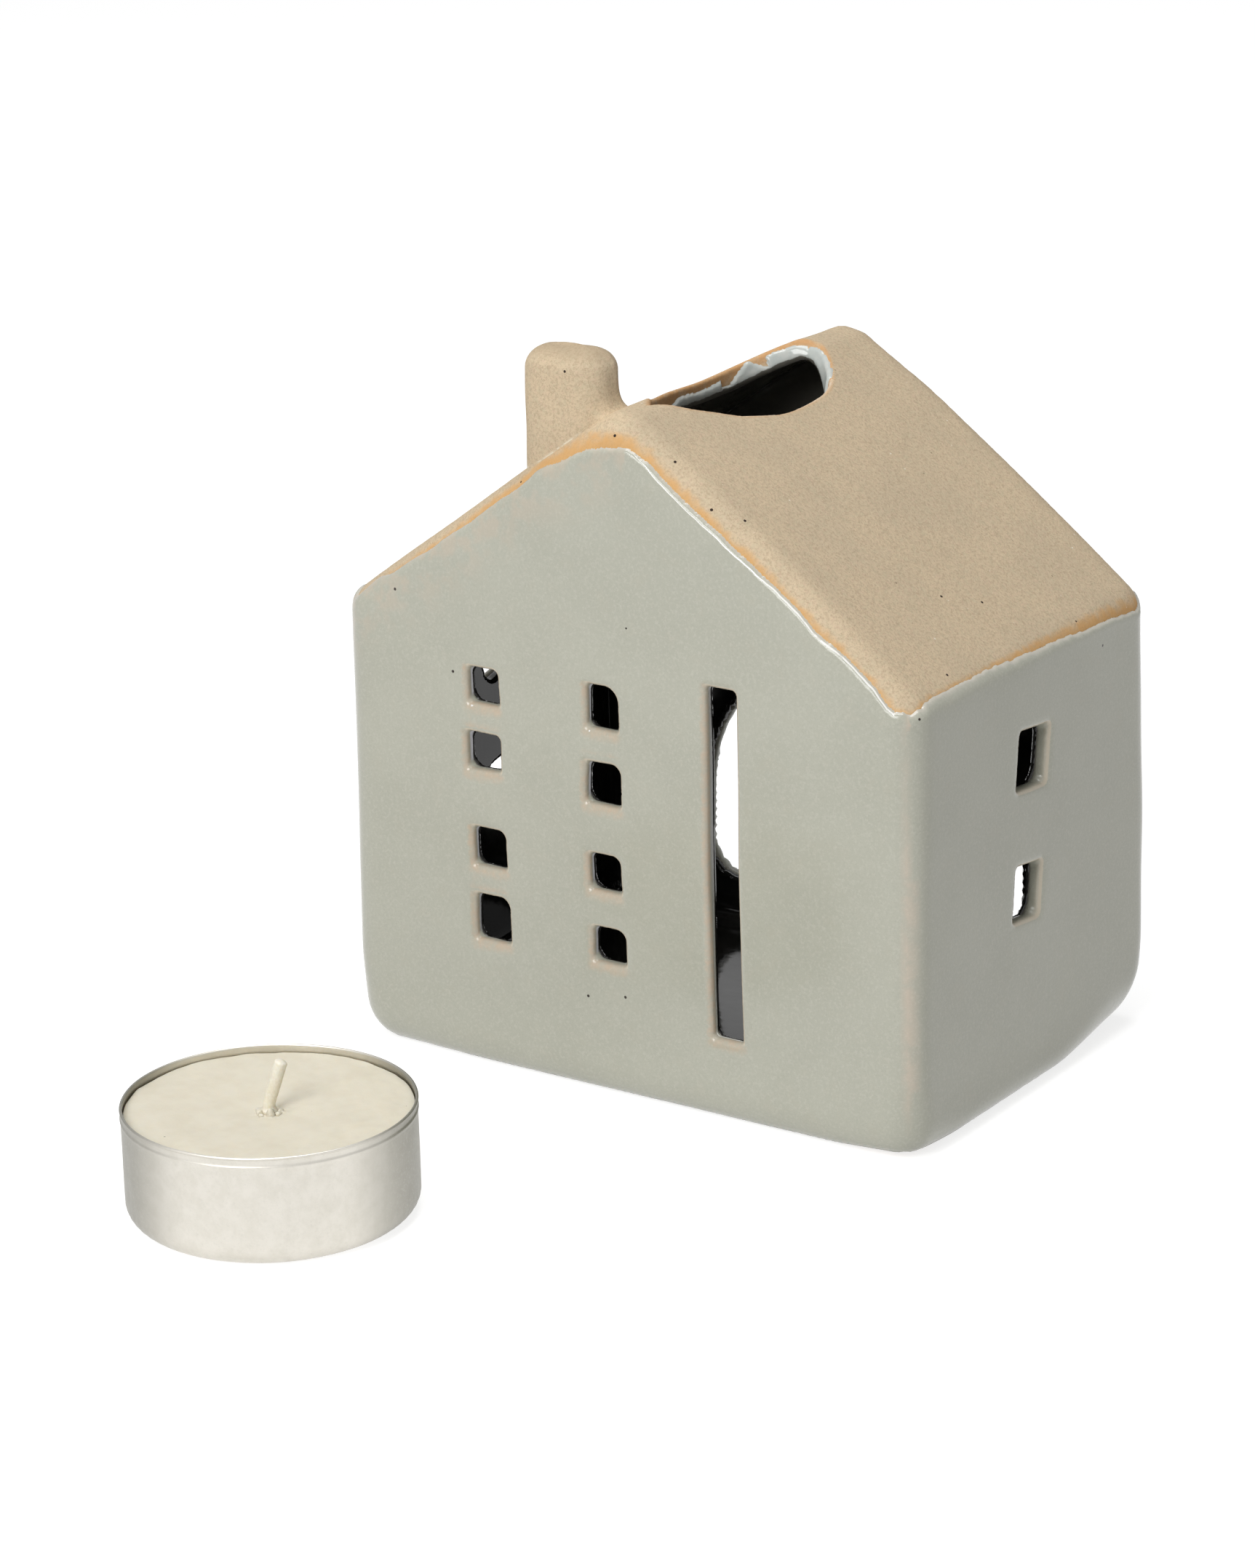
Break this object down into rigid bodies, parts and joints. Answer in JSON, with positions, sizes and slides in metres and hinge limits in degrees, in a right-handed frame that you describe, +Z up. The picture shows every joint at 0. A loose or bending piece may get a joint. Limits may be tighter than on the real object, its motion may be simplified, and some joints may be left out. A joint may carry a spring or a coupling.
{
  "type": "tealight house",
  "caption": "Small stoneware house with cut-out windows, a roof vent and a back arch, that shelters a tealight standing beside it.",
  "frame": {"origin": "on the surface the house stands on, under the middle of the house's footprint", "axes": "+Z up, +X towards the house's right wall seen from its windowed front gable, which faces -Y; +Y out through the back arch"},
  "size_m": [0.09, 0.1333, 0.1015],
  "materials": {
    "bare_clay": "matt speckled stoneware",
    "pale_glaze": "grey-green satin glaze",
    "dark_glaze": "glossy black glaze",
    "cup_foil": "dull pressed foil",
    "cream_wax": "satin paraffin wax",
    "wick_cotton": "waxed cotton braid",
    "tin_plate": "tin-plated steel"
  },
  "bodies": {
    "house": {"house_shell": "bare_clay", "chimney": "bare_clay", "wall_glaze": "pale_glaze", "liner_glaze": "dark_glaze"},
    "cup": {"tealight_cup": "cup_foil"},
    "candle": {"candle_wax": "cream_wax", "wick": "wick_cotton", "wick_sustainer": "tin_plate"}
  },
  "joints": [
    {"name": "tealight_lift", "type": "slide", "parent": "house", "child": "cup", "axis": [0, 0, 1], "range_m": [0, 0.04]},
    {"name": "candle_lift", "type": "slide", "parent": "cup", "child": "candle", "axis": [0, 0, 1], "range_m": [0, 0.02]}
  ]
}
